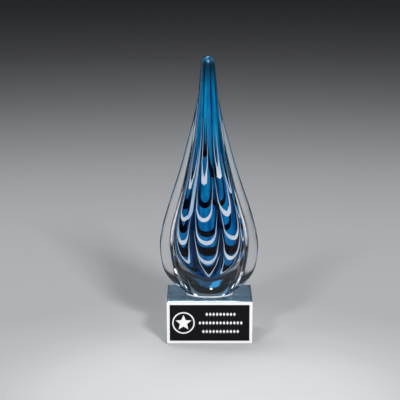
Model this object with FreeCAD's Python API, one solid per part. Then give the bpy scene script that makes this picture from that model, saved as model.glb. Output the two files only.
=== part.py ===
import FreeCAD, Part
import math
import os

# Crystal award: a cased glass teardrop with combed threads, bonded to a clear glass block that carries
# a plate on its front.
# Millimetres, +Z up. The origin is the centre of the block's underside, and the plate faces -Y.

# Driving dimensions
BLOCK_WIDTH = 82.5
BLOCK_DEPTH = 57.0
BLOCK_HEIGHT = 42.5
BLOCK_BEVEL = 0.9

PLATE_WIDTH = 82.0
PLATE_HEIGHT = 41.4
PLATE_CORNER = 0.8
PLATE_BORDER = 2.8
SHEET_THICKNESS = 0.5
LACQUER_THICKNESS = 0.12
TAPE_THICKNESS = 0.2
TAPE_MARGIN = 1.5

BOND_THICKNESS = 0.2
BOND_OVERHANG = 0.8

# The teardrop's loft: height above its foot, half width over the fins, half width and half depth of the
# round belly.
CASING_STATIONS = [
    (0.0, 22.3, 22.0, 15.0),
    (4.0, 27.0, 24.2, 17.2),
    (12.0, 36.4, 28.0, 20.4),
    (24.0, 44.0, 33.4, 24.0),
    (46.0, 47.6, 37.0, 26.0),
    (64.0, 45.5, 35.6, 25.4),
    (85.0, 39.9, 29.8, 23.0),
    (104.0, 33.6, 24.6, 20.0),
    (124.0, 27.0, 19.9, 16.8),
    (148.0, 20.3, 15.0, 13.2),
    (172.0, 14.1, 11.5, 10.8),
    (186.0, 11.3, 9.9, 9.6),
    (200.0, 8.9, 8.6, 8.6),
    (214.0, 7.4, 7.3, 7.3),
]
TIP_HEIGHT = 232.2
TIP_RADIUS = 6.3
TIP_ANGLES = (0, 22, 44, 64, 80)
TIP_ROUNDNESS = 0.99
FIN_THICKNESS_RATIO = 0.19
FIN_SQUARENESS = 3.0
BLEND_POWER = 6.0
SECTION_POINTS = 24
FIN_POINT_CROWDING = 0.36

# The drop leans a little to the left: how far its axis strays at the tip, and how that grows with height.
TIP_LEAN = 1.9
LEAN_POWER = 0.8

# The coloured core's loft: height above the foot, half width, half depth.
CORE_STATIONS = [
    (18.5, 3.0, 2.4),
    (20.5, 9.0, 6.5),
    (26.0, 17.0, 11.4),
    (35.0, 24.6, 15.2),
    (47.0, 28.8, 17.4),
    (60.0, 30.0, 18.0),
    (74.0, 28.8, 17.5),
    (90.0, 25.2, 16.2),
    (106.0, 20.8, 14.2),
    (124.0, 15.8, 11.9),
    (148.0, 11.2, 9.6),
    (172.0, 8.2, 7.7),
    (200.0, 6.0, 5.9),
    (214.0, 5.2, 5.1),
]
CORE_TIP_HEIGHT = 230.4
CORE_TIP_RADIUS = 4.4

# Combed threads: each turn has one scallop in every column. A scallop hangs from two points on the comb
# lines, and is inlaid flush in the core's surface. Its rise and thickness are a length plus a share of
# its height above the foot.
COLUMNS = 8
WHITE_BOTTOMS = (112.0, 76.0, 54.0, 36.0, 24.0)
BLACK_BOTTOMS = (124.0, 91.0, 65.0, 45.5, 30.0)
SCALLOP_RISE = 10.0
SCALLOP_RISE_RATIO = 0.30
SCALLOP_THICKNESS = 1.2
SCALLOP_THICKNESS_RATIO = 0.026
SCALLOP_FULLNESS = 0.85
SCALLOP_TIP = 0.5
COMB_SPAN_RATIO = 0.80
INLAY_DEPTH = 3.0
INLAY_REACH = 4.0

# Engraving on the plate, as openings in the lacquer that show the metal
EMBLEM_CENTRE = (-25.0, 0.0)
EMBLEM_RADIUS = 10.8
EMBLEM_RING = 1.3
STAR_RADIUS = 8.0
STAR_WAIST_RATIO = 0.45
CHAIN_CENTRE_X = 10.5
CHAIN_ROWS = ((8.6, 9), (0.0, 13), (-8.6, 11))
CHAIN_PITCH = 3.3
LOZENGE_HALF_WIDTH = 1.35
LOZENGE_HALF_HEIGHT = 1.9

# Places that follow from the dimensions
FOOT_Z = BLOCK_HEIGHT + BOND_THICKNESS
PLATE_CENTRE_Z = BLOCK_HEIGHT / 2
TAPE_BACK = -BLOCK_DEPTH / 2
SHEET_BACK = TAPE_BACK - TAPE_THICKNESS
LACQUER_BACK = SHEET_BACK - SHEET_THICKNESS
PLATE_FRONT = LACQUER_BACK - LACQUER_THICKNESS
ENGRAVING_DEPTH = 20 * LACQUER_THICKNESS


def interpolate(stations, height):
    """Half sizes of a loft at a height, read linearly between its stations."""
    if height <= stations[0][0]:
        return stations[0][1:]
    for low, high in zip(stations, stations[1:]):
        if height <= high[0]:
            share = (height - low[0]) / (high[0] - low[0])
            return tuple(a + (b - a) * share for a, b in zip(low[1:], high[1:]))
    return stations[-1][1:]


def lean(height):
    """Where the drop's axis runs at a height, along X."""
    return -TIP_LEAN * (max(height, 0.0) / TIP_HEIGHT) ** LEAN_POWER


def superellipse_radius(angle, half_width, half_depth, power):
    across = abs(math.cos(angle) / half_width) ** power
    through = abs(math.sin(angle) / half_depth) ** power
    return (across + through) ** (-1.0 / power)


def casing_radius(angle, fin, belly, depth):
    """Polar radius of a section: a smooth union of the belly's ellipse and the flat slab of the fins."""
    belly_radius = superellipse_radius(angle, belly, depth, 2.0)
    reach = (fin ** BLEND_POWER - belly ** BLEND_POWER) ** (1.0 / BLEND_POWER)
    fin_radius = superellipse_radius(angle, reach, FIN_THICKNESS_RATIO * reach, FIN_SQUARENESS)
    return (belly_radius ** BLEND_POWER + fin_radius ** BLEND_POWER) ** (1.0 / BLEND_POWER)


def casing_wire(height, fin, belly, depth):
    """One section of the casing, with its points closest together round the thin fin edges."""
    points = []
    for step in range(SECTION_POINTS):
        angle = 2 * math.pi * step / SECTION_POINTS
        angle -= FIN_POINT_CROWDING * math.sin(2 * angle)
        radius = casing_radius(angle, fin, belly, depth)
        x = radius * math.cos(angle) + lean(height)
        points.append(FreeCAD.Vector(x, radius * math.sin(angle), FOOT_Z + height))
    curve = Part.BSplineCurve()
    curve.interpolate(Points=points, PeriodicFlag=True)
    return Part.Wire(curve.toShape())


def ellipse_wire(height, half_width, half_depth):
    ellipse = Part.Ellipse(FreeCAD.Vector(lean(height), 0, FOOT_Z + height), half_width, half_depth)
    return Part.Wire(ellipse.toShape())


def tip_stations(top, radius):
    """Heights and radii of a rounded tip, from its widest circle to a small flat."""
    base = top - radius
    stations = []
    for degrees in TIP_ANGLES:
        angle = math.radians(degrees)
        stations.append((base + radius * math.sin(angle), radius * math.cos(angle)))
    return stations


def casing_envelope():
    wires = [casing_wire(*station) for station in CASING_STATIONS]
    for height, radius in tip_stations(TIP_HEIGHT, TIP_RADIUS):
        wires.append(casing_wire(height, radius, radius * TIP_ROUNDNESS, radius * TIP_ROUNDNESS))
    return Part.makeLoft(wires, True, False)


def core_solid():
    wires = [ellipse_wire(*station) for station in CORE_STATIONS]
    tip = tip_stations(CORE_TIP_HEIGHT, CORE_TIP_RADIUS)
    wires += [ellipse_wire(height, radius, radius * TIP_ROUNDNESS) for height, radius in tip]
    return Part.makeLoft(wires, True, False)


def scallop_curve(half_top, half_belly, top, bottom):
    """A hanging U from one comb point to the next, in the plane Y = 0."""
    control = (4 * bottom - top) / 3
    curve = Part.BezierCurve()
    curve.setPoles([
        FreeCAD.Vector(-half_top, 0, top),
        FreeCAD.Vector(-half_belly, 0, control),
        FreeCAD.Vector(half_belly, 0, control),
        FreeCAD.Vector(half_top, 0, top),
    ])
    return curve.toShape()


def crescent_face(half_top, half_belly, top, bottom, thickness):
    """A crescent between two hanging Us, with small blunt ends."""
    lower = scallop_curve(half_top, half_belly, top, bottom)
    upper = scallop_curve(half_top - SCALLOP_TIP, half_belly - SCALLOP_TIP, top, bottom + thickness)
    ends = []
    for number in (0, 1):
        ends.append(Part.makeLine(lower.Vertexes[number].Point, upper.Vertexes[number].Point))
    return Part.Face(Part.Wire([lower, ends[1], upper, ends[0]]))


def tangent_width(height, turn):
    """Half the core's width as seen square on from a column, at a height."""
    half_width, half_depth = interpolate(CORE_STATIONS, height)
    return math.hypot(half_width * math.cos(turn), half_depth * math.sin(turn))


def core_reach(height, turn):
    """How far the core's surface stands from the axis in a column's direction, at a height."""
    half_width, half_depth = interpolate(CORE_STATIONS, height)
    return math.hypot(half_width * math.sin(turn), half_depth * math.cos(turn))


def scallop_prism(column, bottom):
    """One crescent, drawn in the plane that touches the core in its column, with the depth of an inlay."""
    rise = SCALLOP_RISE + SCALLOP_RISE_RATIO * bottom
    thickness = SCALLOP_THICKNESS + SCALLOP_THICKNESS_RATIO * bottom
    top = bottom + rise
    middle = bottom + SCALLOP_RISE_RATIO * rise
    turn = 2 * math.pi * column / COLUMNS
    span = COMB_SPAN_RATIO * math.sin(math.pi / COLUMNS)
    half_top = span * tangent_width(top, turn)
    half_belly = span * tangent_width(middle, turn) * SCALLOP_FULLNESS
    face = crescent_face(half_top, half_belly, top - middle, bottom - middle, thickness)
    face.translate(FreeCAD.Vector(0, -INLAY_REACH, 0))
    prism = face.extrude(FreeCAD.Vector(0, INLAY_REACH + INLAY_DEPTH, 0))
    if prism.Volume < 0:
        prism.reverse()
    tilt = math.atan2(core_reach(bottom, turn) - core_reach(top, turn), rise)
    prism.rotate(FreeCAD.Vector(0, 0, 0), FreeCAD.Vector(1, 0, 0), -math.degrees(tilt))
    half_width, half_depth = interpolate(CORE_STATIONS, middle)
    normal = math.atan2(math.sin(turn) / half_width, math.cos(turn) / half_depth)
    prism.rotate(FreeCAD.Vector(0, 0, 0), FreeCAD.Vector(0, 0, 1), math.degrees(normal))
    x = half_width * math.sin(turn) + lean(middle)
    prism.translate(FreeCAD.Vector(x, -half_depth * math.cos(turn), FOOT_Z + middle))
    return prism


def thread_turn(core, bottom):
    """All the scallops of one combed turn, flush with the core's surface."""
    pieces = []
    for column in range(COLUMNS):
        pieces += core.common(scallop_prism(column, bottom)).Solids
    return Part.Compound(pieces)


def plate_block(width, height, corner, front, thickness):
    """An upright flat piece with rounded corners whose front face lies at Y = front."""
    box = Part.makeBox(width, thickness, height)
    edges = [edge for edge in box.Edges if abs(edge.tangentAt(edge.FirstParameter).y) > 0.9]
    box = box.makeFillet(corner, edges)
    box.translate(FreeCAD.Vector(-width / 2, front, PLATE_CENTRE_Z - height / 2))
    return box


def plate_prism(outline):
    """A closed outline on the plate, as a tool that cuts right through the lacquer."""
    front = PLATE_FRONT - ENGRAVING_DEPTH / 2
    points = [FreeCAD.Vector(x, front, PLATE_CENTRE_Z + z) for x, z in outline]
    face = Part.Face(Part.makePolygon(points + points[:1]))
    return face.extrude(FreeCAD.Vector(0, ENGRAVING_DEPTH, 0))


def star_outline(x, z, radius):
    outline = []
    for step in range(10):
        reach = radius if step % 2 == 0 else radius * STAR_WAIST_RATIO
        angle = math.pi / 2 + step * math.pi / 5
        outline.append((x + reach * math.cos(angle), z + reach * math.sin(angle)))
    return outline


def lozenge_outline(x, z, half_width, half_height):
    return [(x - half_width, z), (x, z + half_height), (x + half_width, z), (x, z - half_height)]


def emblem_tools():
    """A plain five-pointed star inside a ring."""
    x, z = EMBLEM_CENTRE
    centre = FreeCAD.Vector(x, PLATE_FRONT - ENGRAVING_DEPTH / 2, PLATE_CENTRE_Z + z)
    toward = FreeCAD.Vector(0, 1, 0)
    ring = Part.makeCylinder(EMBLEM_RADIUS, ENGRAVING_DEPTH, centre, toward)
    ring = ring.cut(Part.makeCylinder(EMBLEM_RADIUS - EMBLEM_RING, ENGRAVING_DEPTH, centre, toward))
    return [ring, plate_prism(star_outline(x, z, STAR_RADIUS))]


def chain_tools():
    """Three ornamental rows, each a chain of separate lozenges."""
    tools = []
    for z, count in CHAIN_ROWS:
        for number in range(count):
            x = CHAIN_CENTRE_X + (number - (count - 1) / 2) * CHAIN_PITCH
            tools.append(plate_prism(lozenge_outline(x, z, LOZENGE_HALF_WIDTH, LOZENGE_HALF_HEIGHT)))
    return tools


def make_base_block():
    block = Part.makeBox(BLOCK_WIDTH, BLOCK_DEPTH, BLOCK_HEIGHT)
    block.translate(FreeCAD.Vector(-BLOCK_WIDTH / 2, -BLOCK_DEPTH / 2, 0))
    return block.makeChamfer(BLOCK_BEVEL, block.Edges)


def make_foot_bond():
    belly, depth = CASING_STATIONS[0][2:]
    outline = ellipse_wire(-BOND_THICKNESS, belly + BOND_OVERHANG, depth + BOND_OVERHANG)
    return Part.Face(outline).extrude(FreeCAD.Vector(0, 0, BOND_THICKNESS))


def make_nameplate_tape():
    width = PLATE_WIDTH - 2 * TAPE_MARGIN
    height = PLATE_HEIGHT - 2 * TAPE_MARGIN
    return plate_block(width, height, PLATE_CORNER, SHEET_BACK, TAPE_THICKNESS)


def make_nameplate_sheet():
    return plate_block(PLATE_WIDTH, PLATE_HEIGHT, PLATE_CORNER, LACQUER_BACK, SHEET_THICKNESS)


def make_nameplate_panel():
    width = PLATE_WIDTH - 2 * PLATE_BORDER
    height = PLATE_HEIGHT - 2 * PLATE_BORDER
    panel = plate_block(width, height, PLATE_CORNER / 2, PLATE_FRONT, LACQUER_THICKNESS)
    return panel.cut(emblem_tools() + chain_tools())


def make_threads(core):
    threads = {}
    for colour, bottoms in (("white", WHITE_BOTTOMS), ("black", BLACK_BOTTOMS)):
        for number, bottom in enumerate(bottoms, start=1):
            threads[f"{colour}_thread_{number}"] = thread_turn(core, bottom)
    return threads


def make_parts():
    core = core_solid()
    threads = make_threads(core)
    parts = {
        "base_block": make_base_block(),
        "foot_bond": make_foot_bond(),
        "clear_casing": casing_envelope().cut(core),
        "blue_core": core.cut(list(threads.values())),
        "nameplate_tape": make_nameplate_tape(),
        "nameplate_sheet": make_nameplate_sheet(),
        "nameplate_panel": make_nameplate_panel(),
    }
    parts.update(threads)
    return parts


os.makedirs("parts", exist_ok=True)
for name, shape in make_parts().items():
    shape.exportStep(f"parts/{name}.step")
    box = shape.BoundBox
    print(name, shape.ShapeType, len(shape.Solids), "solids", round(shape.Volume, 2), "mm3",
          "valid" if shape.isValid() else "INVALID",
          [round(v, 2) for v in (box.XMin, box.YMin, box.ZMin, box.XMax, box.YMax, box.ZMax)])
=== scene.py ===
import math
import random

import bpy
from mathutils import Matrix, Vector


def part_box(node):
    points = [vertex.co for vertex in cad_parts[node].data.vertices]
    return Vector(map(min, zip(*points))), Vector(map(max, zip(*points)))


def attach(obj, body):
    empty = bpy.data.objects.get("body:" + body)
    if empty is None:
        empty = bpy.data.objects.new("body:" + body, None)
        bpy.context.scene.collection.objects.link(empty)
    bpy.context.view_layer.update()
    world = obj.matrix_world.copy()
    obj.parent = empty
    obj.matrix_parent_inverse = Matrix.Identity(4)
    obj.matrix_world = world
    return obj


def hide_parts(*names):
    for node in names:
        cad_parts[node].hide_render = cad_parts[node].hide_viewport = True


# Crystal award: a cased glass teardrop with combed threads, bonded to a clear glass block with a plate on
# its front. The frame is the CAD model's, in metres: +Z up, the plate faces -Y. The shapes' sizes are in mm.

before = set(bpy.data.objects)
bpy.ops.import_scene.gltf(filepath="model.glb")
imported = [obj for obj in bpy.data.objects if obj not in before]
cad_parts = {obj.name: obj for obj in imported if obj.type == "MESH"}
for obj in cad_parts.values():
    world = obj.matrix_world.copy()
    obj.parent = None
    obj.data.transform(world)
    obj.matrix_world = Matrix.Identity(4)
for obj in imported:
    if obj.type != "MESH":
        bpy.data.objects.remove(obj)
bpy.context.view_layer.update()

MM = 0.001
WHITE = (1.0, 1.0, 1.0, 1)

# ---- places read from the frame ----
BLOCK_LOW, BLOCK_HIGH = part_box("base_block")
CASING_LOW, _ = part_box("clear_casing")
FOOT_Z = CASING_LOW.z

# ---- the casing ----
# Height above the foot, half width over the fins, half width and half depth of the belly
CASING_STATIONS = [
    (0.0, 22.3, 22.0, 15.0),
    (4.0, 27.0, 24.2, 17.2),
    (12.0, 36.4, 28.0, 20.4),
    (24.0, 44.0, 33.4, 24.0),
    (46.0, 47.5, 37.0, 26.0),
    (64.0, 45.5, 35.6, 25.4),
    (85.0, 39.9, 29.8, 23.0),
    (104.0, 33.6, 24.6, 20.0),
    (124.0, 27.0, 19.9, 16.8),
    (148.0, 20.3, 15.0, 13.2),
    (172.0, 14.1, 11.5, 10.8),
    (186.0, 11.3, 9.9, 9.6),
    (200.0, 8.9, 8.6, 8.6),
    (214.0, 7.4, 7.3, 7.3),
    (225.0, 6.4, 6.3, 6.3),
]
CASING_TIP = 231.8
TIP_LEAN = 1.9
LEAN_POWER = 0.8
FIN_THICKNESS_RATIO = 0.18
FIN_SQUARENESS = 3.2
LEAST_FIN = 1.0005          # fins that stand out less than this, as a share of the belly, are left out
BLEND_SOFT = 10.0           # exponents of the union of belly and fin: the higher, the sharper the crease
BLEND_SHARP = 14.0
BLEND_SHARP_BELOW = 95.0
BLEND_CHANGE_OVER = 20.0
BLEND_SIDE_CONTRAST = 4.0

# ---- the blue core ----
# Height above the foot, half width, half depth
CORE_STATIONS = [
    (18.5, 2.5, 2.0),
    (20.5, 9.0, 6.5),
    (26.0, 17.0, 11.4),
    (35.0, 24.6, 15.2),
    (47.0, 28.8, 17.4),
    (60.0, 30.0, 18.0),
    (74.0, 28.8, 17.5),
    (90.0, 25.2, 16.2),
    (106.0, 20.8, 14.2),
    (124.0, 15.8, 11.9),
    (148.0, 11.2, 9.6),
    (172.0, 8.2, 7.7),
    (200.0, 6.0, 6.0),
    (214.0, 5.2, 5.2),
    (224.0, 4.5, 4.5),
]
CORE_TIP = 229.8


# ---- the two lofted forms ----
def smooth(stations, height):
    """Sizes at a height, on a smooth curve through the stations."""
    last = len(stations) - 1
    height = min(max(height, stations[0][0]), stations[last][0])
    k = 0
    while k < last - 1 and height > stations[k + 1][0]:
        k += 1
    span = stations[k + 1][0] - stations[k][0]
    t = (height - stations[k][0]) / span
    sizes = []
    for column in range(1, len(stations[0])):
        start, end = stations[k][column], stations[k + 1][column]
        before, after = stations[max(k - 1, 0)], stations[min(k + 2, last)]
        slope_in = (end - before[column]) / (stations[k + 1][0] - before[0]) * span
        slope_out = (after[column] - start) / (after[0] - stations[k][0]) * span
        value = (2 * t ** 3 - 3 * t ** 2 + 1) * start + (t ** 3 - 2 * t ** 2 + t) * slope_in
        value += (3 * t ** 2 - 2 * t ** 3) * end + (t ** 3 - t ** 2) * slope_out
        sizes.append(value)
    return sizes


def tip_scale(height, shoulder, top):
    """1 below a rounded tip, falling to 0 at its top as a quarter ellipse."""
    if height <= shoulder:
        return 1.0
    return math.sqrt(max(0.0, 1.0 - ((height - shoulder) / (top - shoulder)) ** 2))


def ramp_share(value, start, full):
    """0 up to the start, rising smoothly to 1 where it is full."""
    share = min(max((value - start) / (full - start), 0.0), 1.0)
    return share * share * (3.0 - 2.0 * share)


def lean(height):
    """How far the axis has strayed to the left at a height: the drop leans a little."""
    return -TIP_LEAN * max(0.0, height / CASING_TIP) ** LEAN_POWER


def superellipse_radius(angle, half_width, half_depth, power=2.0):
    across = abs(math.cos(angle) / half_width) ** power
    through = abs(math.sin(angle) / half_depth) ** power
    return (across + through) ** (-1.0 / power)


def casing_radius(angle, fin, belly, depth, blend):
    """Polar radius of a section: a smooth union of the belly's ellipse and the flat slab of the fins."""
    belly_radius = superellipse_radius(angle, belly, depth)
    if fin <= belly * LEAST_FIN:
        return belly_radius
    reach = (fin ** blend - belly ** blend) ** (1.0 / blend)
    thickness = FIN_THICKNESS_RATIO * reach
    fin_radius = superellipse_radius(angle, reach, thickness, FIN_SQUARENESS)
    return (belly_radius ** blend + fin_radius ** blend) ** (1.0 / blend)


def casing_point(angle, height):
    """A point of the casing; the crease between belly and fin is sharpest low down on the left."""
    shoulder = CASING_STATIONS[-1][0]
    fin, belly, depth = smooth(CASING_STATIONS, height)
    to_left = 0.5 - 0.5 * math.tanh(BLEND_SIDE_CONTRAST * math.cos(angle))
    low_down = 0.5 - 0.5 * math.tanh((height - BLEND_SHARP_BELOW) / BLEND_CHANGE_OVER)
    blend = BLEND_SOFT + (BLEND_SHARP - BLEND_SOFT) * to_left * low_down
    radius = casing_radius(angle, fin, belly, depth, blend) * tip_scale(height, shoulder, CASING_TIP)
    x = radius * math.cos(angle) + lean(height)
    return Vector((x * MM, radius * math.sin(angle) * MM, FOOT_Z + height * MM))


def core_point(turn, height, lift=0.0):
    """A point of the core's surface: turn is 0 at the front, growing towards +X; lift moves it outwards."""
    shoulder = CORE_STATIONS[-1][0]
    half_width, half_depth = smooth(CORE_STATIONS, height)
    scale = tip_scale(height, shoulder, CORE_TIP)
    x = (half_width * scale + lift) * math.sin(turn) + lean(height)
    y = -(half_depth * scale + lift) * math.cos(turn)
    return Vector((x * MM, y * MM, FOOT_Z + height * MM))


# ---- meshes ----
def new_object(name, vertices, faces, material, smooth_shading=True):
    mesh = bpy.data.meshes.new(name)
    mesh.from_pydata([tuple(v) for v in vertices], [], faces)
    mesh.validate()
    for polygon in mesh.polygons:
        polygon.use_smooth = smooth_shading
    mesh.materials.append(material)
    piece = bpy.data.objects.new(name, mesh)
    bpy.context.scene.collection.objects.link(piece)
    return piece


def point_attribute(piece, name, values):
    """One number for each vertex, which the piece's material reads."""
    piece.data.attributes.new(name, "FLOAT", "POINT").data.foreach_set("value", values)


def full_circle(count):
    """Angles at equal steps round a full turn."""
    return [2 * math.pi * step / count for step in range(count)]


def stack_of_rings(rings):
    """Vertices and faces of a closed form: rings of equal length, joined, with a cap at each end."""
    count = len(rings[0])
    vertices = [point for ring in rings for point in ring]
    faces = []
    for level in range(len(rings) - 1):
        for step in range(count):
            after = (step + 1) % count
            low, high = level * count, (level + 1) * count
            faces.append((low + step, low + after, high + after, high + step))
    for level, order in ((0, -1), (len(rings) - 1, 1)):
        centre = sum(rings[level], Vector()) / count
        vertices.append(centre)
        hub = len(vertices) - 1
        for step in range(count):
            edge = (level * count + step, level * count + (step + 1) % count)
            faces.append((hub,) + edge[::order])
    return vertices, faces


# ---- shader nodes ----
def new_material(name):
    material = bpy.data.materials.new(name)
    material.use_nodes = True
    shader = material.node_tree.nodes["Principled BSDF"]
    return material, material.node_tree.nodes, material.node_tree.links, shader


def place_noise(nodes, links, scale, detail, stretch=None):
    """Noise fixed to the piece; where it is stretched, its grain has another size along each axis."""
    where = nodes.new("ShaderNodeTexCoord").outputs["Object"]
    if stretch:
        mapping = nodes.new("ShaderNodeMapping")
        mapping.inputs["Scale"].default_value = stretch
        links.new(where, mapping.inputs["Vector"])
        where = mapping.outputs["Vector"]
    noise = nodes.new("ShaderNodeTexNoise")
    noise.inputs["Scale"].default_value = scale
    noise.inputs["Detail"].default_value = detail
    links.new(where, noise.inputs["Vector"])
    return noise.outputs["Fac"]


def colour_ramp(nodes, links, factor, stops):
    """Colours between the stops, each of which is a position and a colour."""
    ramp = nodes.new("ShaderNodeValToRGB")
    elements = ramp.color_ramp.elements
    while len(elements) < len(stops):
        elements.new(0.5)
    for element, (position, colour) in zip(elements, stops):
        element.position = position
        element.color = colour
    links.new(factor, ramp.inputs["Fac"])
    return ramp.outputs["Color"]


def colour_mix(nodes, blend_type="MIX"):
    """A Mix node's sockets for colours: factor, first colour, second colour and result."""
    mix = nodes.new("ShaderNodeMix")
    mix.data_type = "RGBA"
    mix.blend_type = blend_type
    return mix.inputs[0], mix.inputs[6], mix.inputs[7], mix.outputs[2]


def vertex_value(nodes, name):
    attribute = nodes.new("ShaderNodeAttribute")
    attribute.attribute_name = name
    return attribute.outputs["Fac"]


# ---- materials ----
GLASS_IOR = 1.5
GLASS_GLOSS = (0.3, 0.32, 0.35, 1)
CASING_TINT = (0.98, 0.99, 1.0, 1)
# Painted reflection: the core's blue, mixed into the clear casing's colour along the fins' rims
PAINTED_RIM_REFLECTION = (0.20, 0.56, 0.76, 1)
BLOCK_TINT = (0.56, 0.75, 0.89, 1)

# How the core's blue changes with height (m): brightest in the neck, dark below the tip
CORE_TONES = [
    (0.100, (0.62, 0.50, 0.62, 1)),
    (0.180, (0.62, 0.61, 0.56, 1)),
    (0.205, (0.80, 0.80, 0.72, 1)),
    (0.226, (1.00, 1.00, 0.88, 1)),
    (0.242, (0.72, 0.74, 0.66, 1)),
    (0.252, (0.42, 0.44, 0.40, 1)),
    (0.260, (0.20, 0.22, 0.20, 1)),
    (0.266, (0.12, 0.14, 0.13, 1)),
    (0.271, (0.40, 0.45, 0.40, 1)),
]

# Ramps over the noise: position and colour
BLUE_STREAKS = [
    (0.08, (0.0016, 0.022, 0.072, 1)),
    (0.30, (0.0016, 0.136, 0.43, 1)),
    (0.62, (0.0016, 0.384, 0.80, 1)),
]
WHITE_GLASS = [(0.35, (0.66, 0.82, 0.94, 1)), (0.60, (0.93, 0.97, 1.0, 1))]
WHITE_FADED = (0.06, 0.28, 0.50, 1)
BLACK_GLASS = [
    (0.30, (0.001, 0.004, 0.018, 1)),
    (0.50, (0.001, 0.001, 0.002, 1)),
    (0.72, (0.020, 0.013, 0.010, 1)),
]
BLACK_FADED = (0.001, 0.02, 0.09, 1)
SILVER = [(0.0, (0.66, 0.655, 0.66, 1)), (1.0, (0.74, 0.735, 0.735, 1))]
LACQUER = [(0.0, (0.002, 0.002, 0.003, 1)), (1.0, (0.006, 0.006, 0.008, 1))]
ADHESIVE = [(0.0, (0.75, 0.85, 0.9, 1)), (1.0, (0.95, 0.98, 1.0, 1))]


def clear_glass(name, tint, wave_scale, wave_strength, clarity):
    """Polished glass whose surface waves very slightly, as hand-worked glass does."""
    material, nodes, links, shader = new_material(name)
    shader.inputs["Base Color"].default_value = tint
    shader.inputs["Roughness"].default_value = 0.0
    shader.inputs["IOR"].default_value = GLASS_IOR
    shader.inputs["Specular Tint"].default_value = GLASS_GLOSS
    shader.inputs["Transmission Weight"].default_value = clarity
    bump = nodes.new("ShaderNodeBump")
    bump.inputs["Strength"].default_value = wave_strength
    bump.inputs["Distance"].default_value = 0.01
    links.new(place_noise(nodes, links, wave_scale, 1.0), bump.inputs["Height"])
    links.new(bump.outputs["Normal"], shader.inputs["Normal"])
    return material


def casing_glass(name, gloss, roughness):
    """The casing's glass, with a painted reflection of the core's blue along the fins' rims."""
    material = clear_glass(name, CASING_TINT, wave_scale=9.0, wave_strength=0.02, clarity=1.0)
    nodes, links = material.node_tree.nodes, material.node_tree.links
    shader = nodes["Principled BSDF"]
    shader.inputs["Specular Tint"].default_value = gloss
    shader.inputs["Roughness"].default_value = roughness
    # painted reflection: the casing's colour turns to the core's blue at the fins' rims
    factor, clear, rim_reflection, result = colour_mix(nodes)
    clear.default_value = CASING_TINT
    rim_reflection.default_value = PAINTED_RIM_REFLECTION
    links.new(vertex_value(nodes, "rim_reflection"), factor)
    links.new(result, shader.inputs["Base Color"])
    return material


def bonded_interface():
    """Where adhesive joins two pieces of glass: light goes straight on."""
    material, _, _, shader = new_material("bonded_interface")
    shader.inputs["Base Color"].default_value = WHITE
    shader.inputs["Roughness"].default_value = 0.0
    shader.inputs["IOR"].default_value = 1.0
    shader.inputs["Transmission Weight"].default_value = 1.0
    return material


def core_tone(nodes, links):
    """The tone that the core's blue is multiplied by, from the height of the point."""
    lowest, highest = CORE_TONES[0][0], CORE_TONES[-1][0]
    place = nodes.new("ShaderNodeTexCoord")
    split = nodes.new("ShaderNodeSeparateXYZ")
    rise = nodes.new("ShaderNodeMapRange")
    rise.inputs["From Min"].default_value = lowest
    rise.inputs["From Max"].default_value = highest
    links.new(place.outputs["Object"], split.inputs["Vector"])
    links.new(split.outputs["Z"], rise.inputs["Value"])
    stops = [((z - lowest) / (highest - lowest), tone) for z, tone in CORE_TONES]
    return colour_ramp(nodes, links, rise.outputs["Result"], stops)


def streaked_blue():
    """Blue glass drawn upwards: long streaks from navy to turquoise, darkest along the comb lines."""
    material, nodes, links, shader = new_material("blue_streaks")
    darken = nodes.new("ShaderNodeMath")
    darken.operation = "MULTIPLY_ADD"
    darken.inputs[1].default_value = -0.5
    links.new(vertex_value(nodes, "comb"), darken.inputs[0])
    links.new(place_noise(nodes, links, 1.0, 3.0, stretch=(300.0, 300.0, 9.0)), darken.inputs[2])
    factor, streaks, tone, result = colour_mix(nodes, "MULTIPLY")
    factor.default_value = 1.0
    links.new(colour_ramp(nodes, links, darken.outputs["Value"], BLUE_STREAKS), streaks)
    links.new(core_tone(nodes, links), tone)
    links.new(result, shader.inputs["Base Color"])
    shader.inputs["Roughness"].default_value = 0.35
    shader.inputs["Specular IOR Level"].default_value = 0.05
    return material


def thread_glass(name, tones, faded):
    """Opaque thread glass with slight cloudy variation; drawn-out arms fade into the blue."""
    material, nodes, links, shader = new_material(name)
    clouds = place_noise(nodes, links, 1.0, 3.0, stretch=(110.0, 110.0, 35.0))
    factor, full, thin, result = colour_mix(nodes)
    thin.default_value = faded
    links.new(vertex_value(nodes, "fade"), factor)
    links.new(colour_ramp(nodes, links, clouds, tones), full)
    links.new(result, shader.inputs["Base Color"])
    shader.inputs["Roughness"].default_value = 0.5
    shader.inputs["Specular IOR Level"].default_value = 0.0
    return material


def brushed_silver():
    """The plate's sheet: fine brush marks along its width."""
    material, nodes, links, shader = new_material("brushed_silver")
    brushing = place_noise(nodes, links, 1.0, 4.0, stretch=(60.0, 60.0, 4000.0))
    links.new(colour_ramp(nodes, links, brushing, SILVER), shader.inputs["Base Color"])
    shader.inputs["Metallic"].default_value = 0.1
    shader.inputs["Roughness"].default_value = 0.45
    return material


def black_lacquer():
    material, nodes, links, shader = new_material("black_lacquer")
    grain = place_noise(nodes, links, 900.0, 2.0)
    links.new(colour_ramp(nodes, links, grain, LACQUER), shader.inputs["Base Color"])
    shader.inputs["Roughness"].default_value = 0.4
    shader.inputs["Specular IOR Level"].default_value = 0.08
    return material


def cloudy_adhesive():
    material, nodes, links, shader = new_material("cloudy_adhesive")
    clouds = place_noise(nodes, links, 300.0, 2.0)
    links.new(colour_ramp(nodes, links, clouds, ADHESIVE), shader.inputs["Base Color"])
    shader.inputs["Roughness"].default_value = 0.15
    shader.inputs["Transmission Weight"].default_value = 0.35
    return material


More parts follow.
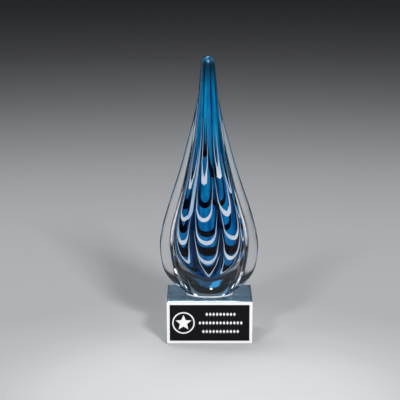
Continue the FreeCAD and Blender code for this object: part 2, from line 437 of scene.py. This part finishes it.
# ---- the casing ----
FIN_STEPS = 36              # vertices in a quarter of a section, on the fin and on the belly
BELLY_STEPS = 54
CREASE_CROWDING = 0.85
CREASE_FROM = 0.02
CREASE_HALVINGS = 24
FOOT_ROUND = 0.5            # the ground foot's rounded edge: its height, and how far it draws in
FOOT_ROUND_STEPS = 4
FOOT_DRAWN_IN = 0.02
BODY_LEVELS = 300
TIP_LEVELS = 14
RIM_WIDTH = 2.0             # the painted reflection of the core's blue along the rims: width, and the heights where it begins and is full
RIM_FROM, RIM_FULL = 60.0, 125.0
TIP_GLASS_FROM = 218.0      # the fire-polished tip begins here
UNDERSIDE = 0.01
TIP_SLOT, INTERFACE_SLOT = 1, 2


def crease_angle(height):
    """Where the fin's slab comes out of the belly, as an angle from the fin's middle."""
    fin, belly, depth = smooth(CASING_STATIONS, height)
    low, high = CREASE_FROM, math.pi / 2
    for _ in range(CREASE_HALVINGS):
        middle = (low + high) / 2
        slab = superellipse_radius(middle, fin, FIN_THICKNESS_RATIO * fin, FIN_SQUARENESS)
        if slab > superellipse_radius(middle, belly, depth):
            low = middle
        else:
            high = middle
    return low


def section_angles(height):
    """Angles round a section, crowded at the fin edges and at the creases so that the mesh follows both."""
    crease = crease_angle(height)
    quarter = []
    for step in range(FIN_STEPS):
        even = step / FIN_STEPS
        crowded = 0.5 - 0.5 * math.cos(math.pi * even)
        quarter.append(crease * (even + (crowded - even) * CREASE_CROWDING))
    for step in range(BELLY_STEPS):
        even = step / BELLY_STEPS
        crowded = 1.0 - math.cos(math.pi / 2 * even)
        quarter.append(crease + (math.pi / 2 - crease) * (even + (crowded - even) * CREASE_CROWDING))
    angles = list(quarter)
    angles += [math.pi - angle for angle in [math.pi / 2] + quarter[:0:-1]]
    return angles + [angle + math.pi for angle in angles]


def casing_levels():
    """Heights of the casing's rings, each with its share of the full size: under 1 at the foot's edge."""
    shoulder = CASING_STATIONS[-1][0]
    levels = []
    for step in range(FOOT_ROUND_STEPS + 1):
        drawn_in = FOOT_DRAWN_IN * (1 - step / FOOT_ROUND_STEPS) ** 2
        levels.append((FOOT_ROUND * step / FOOT_ROUND_STEPS, 1.0 - drawn_in))
    for step in range(1, BODY_LEVELS + 1):
        levels.append((FOOT_ROUND + (shoulder - FOOT_ROUND) * step / BODY_LEVELS, 1.0))
    for step in range(1, TIP_LEVELS):
        rise = math.sin(math.pi / 2 * step / TIP_LEVELS)
        levels.append((shoulder + (CASING_TIP - shoulder) * rise, 1.0))
    return levels


def assign_casing_slots(casing):
    """The tip is fire-polished, and the flat underside is bonded to the block."""
    vertices = casing.data.vertices
    for polygon in casing.data.polygons:
        if polygon.center.z > FOOT_Z + TIP_GLASS_FROM * MM:
            polygon.material_index = TIP_SLOT
        if all(vertices[corner].co.z < FOOT_Z + UNDERSIDE * MM for corner in polygon.vertices):
            polygon.material_index = INTERFACE_SLOT
            polygon.use_smooth = False


def make_casing(material, tip_material, interface):
    rings, rim_reflections = [], []
    for height, scale in casing_levels():
        reach = smooth(CASING_STATIONS, height)[0]
        strength = ramp_share(height, RIM_FROM, RIM_FULL)
        ring = []
        for angle in section_angles(height):
            point = casing_point(angle, height)
            ring.append(Vector((point.x * scale, point.y * scale, point.z)))
            # painted reflection: strongest at the fins' rims, fading inwards and towards the foot
            inward = reach - abs(point.x / MM - lean(height))
            rim_reflections.append(strength * math.exp(-(inward / RIM_WIDTH) ** 2))
        rings.append(ring)
    vertices, faces = stack_of_rings(rings)
    rim_reflections += [0.0] * (len(vertices) - len(rim_reflections))
    casing = new_object("casing_glass", vertices, faces, material)
    casing.data.materials.append(tip_material)
    casing.data.materials.append(interface)
    point_attribute(casing, "rim_reflection", rim_reflections)
    assign_casing_slots(casing)
    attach(casing, "root")
    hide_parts("clear_casing")


# ---- the blue core ----
# Comb lines between the columns of scallops, in degrees round from the front at the belly
COMB_LINES = (-80.0, -28.0, 18.0, 59.0, 100.0, 152.0, 198.0, 239.0)
COMB_WIDTH = math.radians(7.0)
COMB_SPREAD = 0.0018
COMB_SPREAD_FROM = 60.0
CORE_LEVELS = 180
CORE_TIP_LEVELS = 10
CORE_AROUND = 192


def comb_turn(turn, height):
    """Where a turn measured at the belly runs at a height: it spreads from the front towards the tip."""
    return turn + COMB_SPREAD * max(0.0, height - COMB_SPREAD_FROM) * math.sin(turn)


def comb_shade(turn, height):
    """0 in the middle of a column and 1 on a comb line, where the glass was drawn up."""
    nearest = math.pi
    for line in COMB_LINES:
        at = comb_turn(math.radians(line), height)
        away = abs((turn - at + math.pi) % (2 * math.pi) - math.pi)
        nearest = min(nearest, away)
    return math.exp(-(nearest / COMB_WIDTH) ** 2)


def core_heights():
    bottom, shoulder = CORE_STATIONS[0][0], CORE_STATIONS[-1][0]
    heights = [bottom + (shoulder - bottom) * step / CORE_LEVELS for step in range(CORE_LEVELS + 1)]
    for step in range(1, CORE_TIP_LEVELS):
        heights.append(shoulder + (CORE_TIP - shoulder) * math.sin(math.pi / 2 * step / CORE_TIP_LEVELS))
    return heights


def make_core(material):
    turns = full_circle(CORE_AROUND)
    rings, shades = [], []
    for height in core_heights():
        rings.append([core_point(turn, height) for turn in turns])
        shades += [comb_shade(turn, height) for turn in turns]
    vertices, faces = stack_of_rings(rings)
    shades += [0.0] * (len(vertices) - len(shades))
    core = new_object("core_glass", vertices, faces, material)
    point_attribute(core, "comb", shades)
    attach(core, "root")
    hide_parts("blue_core")


# ---- combed threads ----
# The four front columns of scallops, with turns round the core in degrees; the back repeats them.
# One row per scallop: turn number, left, centre and right turns, bottom height, height of its curved part,
# length of its straight arms, and the half widths at the bottom, in the left arm and in the right arm.
WHITE_SCALLOPS = [
    (1, -58, -49, -41, 106, 20, 20, 1.4, 0.45, 0.6),
    (1, -21, -11, -3, 112, 20, 50, 2.2, 0.5, 0.45),
    (1, 22, 31, 36, 118, 20, 30, 2.6, 0.45, 0.8),
    (1, 52, 60, 66, 101, 18, 20, 1.1, 0.4, 0.4),
    (2, -63, -52, -35, 76, 12, 86, 1.9, 0.5, 2.0),
    (2, -24, -9, 6, 77, 14, 22, 1.9, 0.5, 0.45),
    (2, 19, 37, 48, 82, 16, 30, 2.4, 0.4, 0.7),
    (2, 64, 77, 90, 76, 16, 20, 1.0, 0.4, 0.4),
    (3, -66, -54, -38, 53.5, 11, 16, 2.1, 1.4, 0.5),
    (3, -22, -4, 12, 55, 12, 20, 2.0, 0.5, 0.45),
    (3, 26, 50, 62, 58.5, 14, 22, 2.0, 0.4, 0.6),
    (3, 70, 82, 94, 54, 12, 20, 1.2, 0.4, 0.4),
    (4, -67, -49, -38, 35, 15, 12, 1.4, 0.45, 0.45),
    (4, -22, -2, 15, 35.5, 13, 18, 1.9, 0.45, 0.5),
    (4, 27, 48, 64, 39, 13, 16, 1.9, 0.4, 0.5),
    (4, 73, 86, 99, 34, 12, 14, 1.2, 0.4, 0.4),
    (5, -20, -2, 17, 21.5, 17, 8, 0.8, 0.4, 0.4),
    (5, 31, 46, 62, 24, 12, 6, 0.9, 0.4, 0.4),
    (5, 76, 90, 104, 23, 12, 6, 0.7, 0.4, 0.4),
]
BLACK_SCALLOPS = [
    (1, -57, -51, -44, 116, 16, 20, 1.9, 0.8, 0.5),
    (1, -17, -12, -8, 138, 20, 16, 2.0, 0.6, 0.5),
    (1, 0, 17, 26, 119.5, 18, 20, 3.4, 1.5, 0.6),
    (1, 52, 60, 68, 116, 16, 20, 1.8, 0.6, 0.6),
    (2, -61, -53, -44, 90, 14, 16, 4.6, 0.9, 0.7),
    (2, -20, -8, 5, 91, 12, 34, 2.8, 0.9, 0.8),
    (2, 6, 19, 37, 92, 10, 34, 2.8, 0.7, 1.0),
    (2, 60, 72, 84, 90, 12, 20, 2.4, 0.9, 0.9),
    (3, -61, -51, -42, 66, 14, 20, 3.2, 1.4, 1.0),
    (3, -21, -4, 13, 63.5, 10, 26, 2.8, 1.0, 1.7),
    (3, 16, 28, 42, 69, 10, 22, 3.0, 1.7, 1.0),
    (3, 66, 78, 90, 66, 12, 20, 2.6, 0.9, 0.9),
    (4, -66, -52, -39, 44.5, 13, 16, 4.6, 1.0, 1.2),
    (4, -23, -2, 17, 46.5, 11, 26, 4.6, 1.1, 1.5),
    (4, 25, 44, 60, 47, 12, 22, 4.4, 1.6, 1.2),
    (4, 71, 83, 96, 46, 12, 18, 3.4, 1.0, 1.0),
    (5, -60, -44, -32, 27.5, 10, 14, 2.4, 0.9, 0.9),
    (5, -23, -1, 20, 28, 14, 18, 3.8, 0.9, 0.9),
    (5, 27, 46, 66, 28.5, 12, 14, 3.2, 0.9, 0.9),
    (5, 74, 88, 102, 28, 12, 12, 2.2, 0.7, 0.7),
]
TURNS_OF_THREAD = 5
WHITE_THICKNESS = 0.35
BLACK_THICKNESS = 0.25
ARM_STEPS = 14
ARM_FLARE = 0.25
ARM_FADE = 0.3              # how far a scallop has faded where its arms begin
ARM_TAPER = 0.82            # how much of its width an arm has lost at its end
BOWL_STEPS = 33
POINTED_ABOVE = 14.0        # scallops deeper than this are pointed, the more so the deeper
POINTED_OVER = 6.0
MOST_POINTED = 0.9
POINT_POWER = 1.5
SWELL_RATIO = 0.36
SWELL_POWER = 1.3
RIBBON_AROUND = 12
DROP_BEHIND = 2.5           # the scallops behind hang up to this much higher or lower


def scallop_arm(side, centre, foot, rise):
    """The straight arm of a scallop, from where its curved part ends upwards."""
    arm = []
    for step in range(1, ARM_STEPS + 1):
        share = step / ARM_STEPS
        height = foot + rise * share
        turn = side + ARM_FLARE * share * (side - centre)
        arm.append((comb_turn(turn, height), height, share, ARM_FADE + (1.0 - ARM_FADE) * share))
    return arm


def scallop_line(left, centre, right, bottom, depth, rise):
    """Turn, height, share of the arm's length and fading, along one hanging scallop from left to right."""
    bowl = []
    pointed = min(max((depth - POINTED_ABOVE) / POINTED_OVER, 0.0), MOST_POINTED)
    for step in range(BOWL_STEPS):
        u = math.sin(math.pi / 2 * (2 * step / (BOWL_STEPS - 1) - 1))
        rounded = 1.0 - math.sqrt(1.0 - u * u)
        height = bottom + depth * ((1.0 - pointed) * rounded + pointed * abs(u) ** POINT_POWER)
        side = right if u > 0 else left
        fade = ARM_FADE * (height - bottom) / depth
        bowl.append((comb_turn(centre + (side - centre) * abs(u), height), height, 0.0, fade))
    left_arm = scallop_arm(left, centre, bottom + depth, rise)
    right_arm = scallop_arm(right, centre, bottom + depth, rise)
    return left_arm[::-1] + bowl + right_arm


def ribbon_rings(line, half_bottom, half_arms, thickness, swell):
    """Lens-shaped sections along a line on the core, wide at the scallop's bottom and thin in its arms."""
    rings = []
    last = len(line) - 1
    bottom = min(height for _, height, _, _ in line)
    belly_width = max(station[1] for station in CORE_STATIONS)
    for index, (turn, height, share, _) in enumerate(line):
        before = line[max(index - 1, 0)]
        after = line[min(index + 1, last)]
        half_width, half_depth = smooth(CORE_STATIONS, height)
        reach = math.hypot(half_width * math.cos(turn), half_depth * math.sin(turn))
        along = Vector(((after[0] - before[0]) * reach, after[1] - before[1]))
        along.normalize()
        arm = half_arms[1] if index > last / 2 else half_arms[0]
        arm *= math.sqrt(half_width / belly_width)
        half = arm + (half_bottom - arm) * math.exp(-((height - bottom) / swell) ** SWELL_POWER)
        half *= 1.0 - ARM_TAPER * share
        ring = []
        for angle in full_circle(RIBBON_AROUND):
            across = half * math.cos(angle)
            lift = thickness * math.sin(angle)
            ring.append(core_point(turn - along.y * across / reach, height + along.x * across, lift))
        rings.append(ring)
    return rings


def add_scallop(row, behind, thickness, vertices, faces, fades):
    """One scallop's ribbon, laid flush on the core, added to the mesh of its thread."""
    _, left, centre, right, bottom, depth, rise, half_bottom, half_left, half_right = row
    drop = random.uniform(-DROP_BEHIND, DROP_BEHIND) if behind else 0.0
    sides = [math.radians(side + (180 if behind else 0)) for side in (left, centre, right)]
    line = scallop_line(*sides, bottom + drop, depth, rise)
    rings = ribbon_rings(line, half_bottom, (half_left, half_right), thickness, SWELL_RATIO * depth)
    start = len(vertices)
    new_vertices, new_faces = stack_of_rings(rings)
    vertices.extend(new_vertices)
    faces.extend(tuple(start + corner for corner in face) for face in new_faces)
    fades.extend(fade for _, _, _, fade in line for _ in range(RIBBON_AROUND))
    fades.extend((1.0, 1.0))


def make_threads(colour, scallops, thickness, material):
    for number in range(1, TURNS_OF_THREAD + 1):
        vertices, faces, fades = [], [], []
        rows = [row for row in scallops if row[0] == number]
        for behind in (False, True):
            for row in rows:
                add_scallop(row, behind, thickness, vertices, faces, fades)
        thread = new_object(f"{colour}_thread_turn_{number}", vertices, faces, material)
        point_attribute(thread, "fade", fades)
        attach(thread, "root")
        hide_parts(f"{colour}_thread_{number}")


# ---- the block ----
BLOCK_BEVEL = 0.9
BEVEL_STEPS = 3
BLOCK_SIDE_STEPS = 24
WINDOW_EDGE = 0.98          # the window's edge and the limit for its faces' middles, as shares of the foot
WINDOW_WITHIN = 0.97
TOP_TOLERANCE = 0.01
WINDOW_SLOT = 1


def block_directions():
    """Steps round a rectangle, each as shares of its half width and half depth."""
    corners = [(1, -1), (1, 1), (-1, 1), (-1, -1)]
    directions = []
    for index, start in enumerate(corners):
        end = corners[(index + 1) % 4]
        for step in range(BLOCK_SIDE_STEPS):
            share = step / BLOCK_SIDE_STEPS
            directions.append(tuple(a + (b - a) * share for a, b in zip(start, end)))
    return directions


def block_outline(bottom, top):
    """Inset and height up the block's side, round both bevels."""
    angles = [math.pi / 2 * step / BEVEL_STEPS for step in range(BEVEL_STEPS + 1)]
    outline = []
    for angle in angles:
        outline.append((BLOCK_BEVEL * (1 - math.sin(angle)), bottom + BLOCK_BEVEL * (1 - math.cos(angle))))
    for angle in angles:
        outline.append((BLOCK_BEVEL * (1 - math.cos(angle)), top - BLOCK_BEVEL * (1 - math.sin(angle))))
    return outline


def block_window(directions, half_width, half_depth, top):
    """The window's edge on the block's top, just inside the foot."""
    _, belly, depth = smooth(CASING_STATIONS, 0.0)
    window = []
    for along, through in directions:
        angle = math.atan2(through * half_depth, along * half_width)
        reach = superellipse_radius(angle, belly * WINDOW_EDGE, depth * WINDOW_EDGE)
        window.append(Vector((reach * math.cos(angle) * MM, reach * math.sin(angle) * MM, top * MM)))
    return window


def assign_block_slots(block, top):
    """The faces inside the window are bonded to the teardrop's foot."""
    _, belly, depth = smooth(CASING_STATIONS, 0.0)
    for polygon in block.data.polygons:
        middle = polygon.center / MM
        on_top = middle.z > top - TOP_TOLERANCE
        if on_top and math.hypot(middle.x / belly, middle.y / depth) < WINDOW_WITHIN:
            polygon.material_index = WINDOW_SLOT


def make_block(material, interface):
    """The glass block with polished bevels; a window under the foot lets light through the bond."""
    low, high = BLOCK_LOW / MM, BLOCK_HIGH / MM
    half_width, half_depth = (high.x - low.x) / 2, (high.y - low.y) / 2
    centre = (high + low) / 2
    directions = block_directions()
    rings = []
    for inset, z in block_outline(low.z, high.z):
        ring = []
        for along, through in directions:
            x = centre.x + along * (half_width - inset)
            y = centre.y + through * (half_depth - inset)
            ring.append(Vector((x * MM, y * MM, z * MM)))
        rings.append(ring)
    rings.append(block_window(directions, half_width, half_depth, high.z))
    vertices, faces = stack_of_rings(rings)
    block = new_object("block_of_glass", vertices, faces, material, False)
    block.data.materials.append(interface)
    assign_block_slots(block, high.z)
    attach(block, "root")
    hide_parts("base_block")


# ---- the adhesive round the foot ----
# The bead's section: distance outwards from the foot's edge and height above the block
BEAD_PROFILE = [(-0.8, 0.02), (0.9, 0.0), (1.1, 0.25), (0.7, 0.75), (0.15, 0.95), (-0.8, 0.17)]
BEAD_AROUND = 160
BEAD_UNEVENNESS = 0.25
BEAD_PHASE = 0.6


def make_foot_bond(material):
    """A bead of clear adhesive squeezed out all round the foot, wider in some places than in others."""
    _, belly, depth = smooth(CASING_STATIONS, 0.0)
    top = BLOCK_HIGH.z / MM
    vertices = []
    for angle in full_circle(BEAD_AROUND):
        swell = 1.0 + BEAD_UNEVENNESS * math.sin(3 * angle + BEAD_PHASE) * math.sin(5 * angle)
        for out, up in BEAD_PROFILE:
            reach = out * swell if out > 0 else out
            x = (belly + reach) * math.cos(angle)
            y = (depth + reach) * math.sin(angle)
            vertices.append(Vector((x * MM, y * MM, (top + up) * MM)))
    count = len(BEAD_PROFILE)
    faces = []
    for step in range(BEAD_AROUND):
        here, there = step * count, (step + 1) % BEAD_AROUND * count
        for corner in range(count):
            following = (corner + 1) % count
            faces.append((here + corner, there + corner, there + following, here + following))
    bead = new_object("foot_adhesive_bead", vertices, faces, material)
    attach(bead, "root")
    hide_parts("foot_bond")


def dress(node, material):
    """Gives a CAD node that stays in view its Blender material."""
    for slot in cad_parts[node].material_slots:
        slot.material = material


# ---- floor ----
# Distance from the middle of the painted pool of light (m) and the floor's colour there: painted light near
# the award, painted shade further off, and painted brighter again far away where the lamps' light falls off
FLOOR_PAINTED_LIGHT = [
    (0.00, 0.43),
    (0.12, 0.41),
    (0.20, 0.32),
    (0.28, 0.285),
    (0.36, 0.29),
    (0.62, 0.305),
    (0.92, 0.30),
    (1.23, 0.275),
    (1.70, 0.26),
    (2.40, 0.26),
    (3.20, 0.275),
    (4.20, 0.285),
    (9.00, 0.90),
]
FLOOR_BLUENESS = 1.02
FLOOR_POOL_Y = -0.16
FLOOR_RADIUS = 9.0
FLOOR_Z = -0.0002
FLOOR_EDGES = 96


def studio_floor():
    """Pale matt paper with a painted pool of light: brighter in front of the award and darker far behind,
    then painted brighter again towards the far edge.
    """
    material, nodes, links, shader = new_material("studio_floor")
    place = nodes.new("ShaderNodeTexCoord")
    shift = nodes.new("ShaderNodeMapping")
    shift.inputs["Location"].default_value = (0.0, -FLOOR_POOL_Y, 0.0)
    length = nodes.new("ShaderNodeVectorMath")
    length.operation = "LENGTH"
    scale = nodes.new("ShaderNodeMath")
    scale.operation = "DIVIDE"
    scale.inputs[1].default_value = FLOOR_RADIUS
    links.new(place.outputs["Object"], shift.inputs["Vector"])
    links.new(shift.outputs["Vector"], length.inputs[0])
    links.new(length.outputs["Value"], scale.inputs[0])
    # painted light and shade: the paper's colour follows the distance from the pool's middle
    stops = []
    for distance, tone in FLOOR_PAINTED_LIGHT:
        stops.append((distance / FLOOR_RADIUS, (tone, tone, tone * FLOOR_BLUENESS, 1)))
    links.new(colour_ramp(nodes, links, scale.outputs["Value"], stops), shader.inputs["Base Color"])
    shader.inputs["Roughness"].default_value = 0.9
    shader.inputs["Specular IOR Level"].default_value = 0.1
    return material


def make_floor():
    vertices = [Vector((0, 0, FLOOR_Z))]
    for angle in full_circle(FLOOR_EDGES):
        vertices.append(Vector((FLOOR_RADIUS * math.cos(angle), FLOOR_RADIUS * math.sin(angle), FLOOR_Z)))
    faces = [(0, 1 + step, 1 + (step + 1) % FLOOR_EDGES) for step in range(FLOOR_EDGES)]
    floor = new_object("studio_floor", vertices, faces, studio_floor(), False)


# ---- lights, world and camera (m) ----
FLASH = (1.0, 1.0, 1.0)
COOL = (0.85, 0.95, 1.0)
TO_AWARD = (0, 0, 0.1)
TO_FOOT = (0, 0, 0.06)

# Name, place, target, width, height, power (W), colour and shape. Sparks and cards are named after the side
# of the foot where they show, because the glass mirrors them.
LIGHTS = [
    ("key", (0.6, -1.5, 1.15), TO_AWARD, 0.3, 0.25, 41.0, FLASH, "RECTANGLE"),
    ("fill", (-0.7, -1.4, 1.3), TO_AWARD, 0.25, 0.25, 16.0, FLASH, "RECTANGLE"),
    ("overhead", (-0.1, 0.45, 1.5), (0, 0.2, 0.0), 0.8, 0.35, 12.5, FLASH, "RECTANGLE"),
    ("tip_light", (-0.6, 0.3, 1.4), (0, 0, 0.26), 0.25, 0.25, 2.2, FLASH, "RECTANGLE"),
    ("blue_card", (-0.25, 2.2, 0.258), TO_FOOT, 0.55, 0.06, 0.04, (0.04, 0.50, 0.95), "ELLIPSE"),
    ("blue_glow", (-0.20, 2.2, 0.262), TO_FOOT, 0.9, 0.11, 0.03, (0.01, 0.38, 1.0), "ELLIPSE"),
    ("blue_card_left", (0.50, 2.2, 0.245), TO_FOOT, 0.55, 0.09, 0.016, (0.01, 0.42, 1.0), "ELLIPSE"),
    ("white_card", (-0.07, 2.2, 0.325), TO_FOOT, 0.14, 0.07, 0.03, (0.9, 0.97, 1.0), "ELLIPSE"),
    ("steel_card", (0.0, 1.7, 0.68), TO_FOOT, 2.4, 0.4, 0.42, (0.6, 0.85, 1.0), "RECTANGLE"),
    ("left_rim", (-1.1, 0.5, 0.45), (0, 0, 0.15), 0.5, 0.8, 1.5, FLASH, "RECTANGLE"),
    ("right_rim", (1.1, 0.45, 0.6), (0, 0, 0.15), 0.5, 0.7, 1.5, FLASH, "RECTANGLE"),
    ("left_spark", (0.89, -0.24, 1.02), TO_AWARD, 0.34, 0.34, 1.4, COOL, "RECTANGLE"),
    ("right_spark", (-0.89, -0.24, 1.02), TO_AWARD, 0.34, 0.34, 1.4, COOL, "RECTANGLE"),
    ("left_foot_spark", (0.59, 1.02, 0.65), TO_AWARD, 0.2, 0.14, 0.35, FLASH, "RECTANGLE"),
    ("right_foot_spark", (-0.59, 1.02, 0.65), TO_AWARD, 0.1, 0.14, 0.2, FLASH, "RECTANGLE"),
    ("right_foot_blue", (-0.62, 1.06, 0.62), TO_AWARD, 0.6, 0.5, 0.25, (0.04, 0.40, 1.0), "ELLIPSE"),
    ("left_foot_blue", (0.62, 1.06, 0.62), TO_AWARD, 0.5, 0.4, 0.12, (0.04, 0.45, 1.0), "ELLIPSE"),
]
WORLD_COLOUR = (0.15, 0.17, 0.20, 1)
WORLD_STRENGTH = 0.15
CAMERA_DISTANCE = 1.315
CAMERA_PITCH = math.radians(12.75)
CAMERA_TARGET = Vector((-0.0092, 0.0, 0.1353))
CAMERA_LENS = 123.3
CAMERA_SENSOR = 36.0


def area_light(name, place, target, width, height, power, colour, shape):
    data = bpy.data.lights.new(name, "AREA")
    data.shape = shape
    data.size = width
    data.size_y = height
    data.energy = power
    data.color = colour
    lamp = bpy.data.objects.new(name, data)
    lamp.location = place
    lamp.rotation_euler = (Vector(target) - Vector(place)).to_track_quat("-Z", "Y").to_euler()
    bpy.context.scene.collection.objects.link(lamp)


def make_world():
    world = bpy.data.worlds.new("studio")
    bpy.context.scene.world = world
    world.use_nodes = True
    background = world.node_tree.nodes["Background"]
    background.inputs["Color"].default_value = WORLD_COLOUR
    background.inputs["Strength"].default_value = WORLD_STRENGTH


def make_camera():
    data = bpy.data.cameras.new("camera")
    data.sensor_width = CAMERA_SENSOR
    data.lens = CAMERA_LENS
    data.clip_start = 0.01
    data.clip_end = 50.0
    camera = bpy.data.objects.new("camera", data)
    back, up = CAMERA_DISTANCE * math.cos(CAMERA_PITCH), CAMERA_DISTANCE * math.sin(CAMERA_PITCH)
    camera.location = CAMERA_TARGET + Vector((0, -back, up))
    camera.rotation_euler = (math.pi / 2 - CAMERA_PITCH, 0.0, 0.0)
    bpy.context.scene.collection.objects.link(camera)
    bpy.context.scene.camera = camera


random.seed(7)
make_camera()
bpy.context.scene.view_settings.view_transform = "Standard"
make_world()
make_floor()
for light in LIGHTS:
    area_light(*light)

bonded = bonded_interface()
polished = casing_glass("casing_glass", GLASS_GLOSS, roughness=0.0)
fire_polished = casing_glass("tip_glass", WHITE, roughness=0.08)
white = thread_glass("white_thread", WHITE_GLASS, WHITE_FADED)
black = thread_glass("black_thread", BLACK_GLASS, BLACK_FADED)
blue_grey = clear_glass("block_glass", BLOCK_TINT, wave_scale=30.0, wave_strength=0.01, clarity=0.98)
silver = brushed_silver()

make_casing(polished, fire_polished, bonded)
make_core(streaked_blue())
make_threads("white", WHITE_SCALLOPS, WHITE_THICKNESS, white)
make_threads("black", BLACK_SCALLOPS, BLACK_THICKNESS, black)
make_block(blue_grey, bonded)
make_foot_bond(cloudy_adhesive())
dress("nameplate_tape", silver)
dress("nameplate_sheet", silver)
dress("nameplate_panel", black_lacquer())
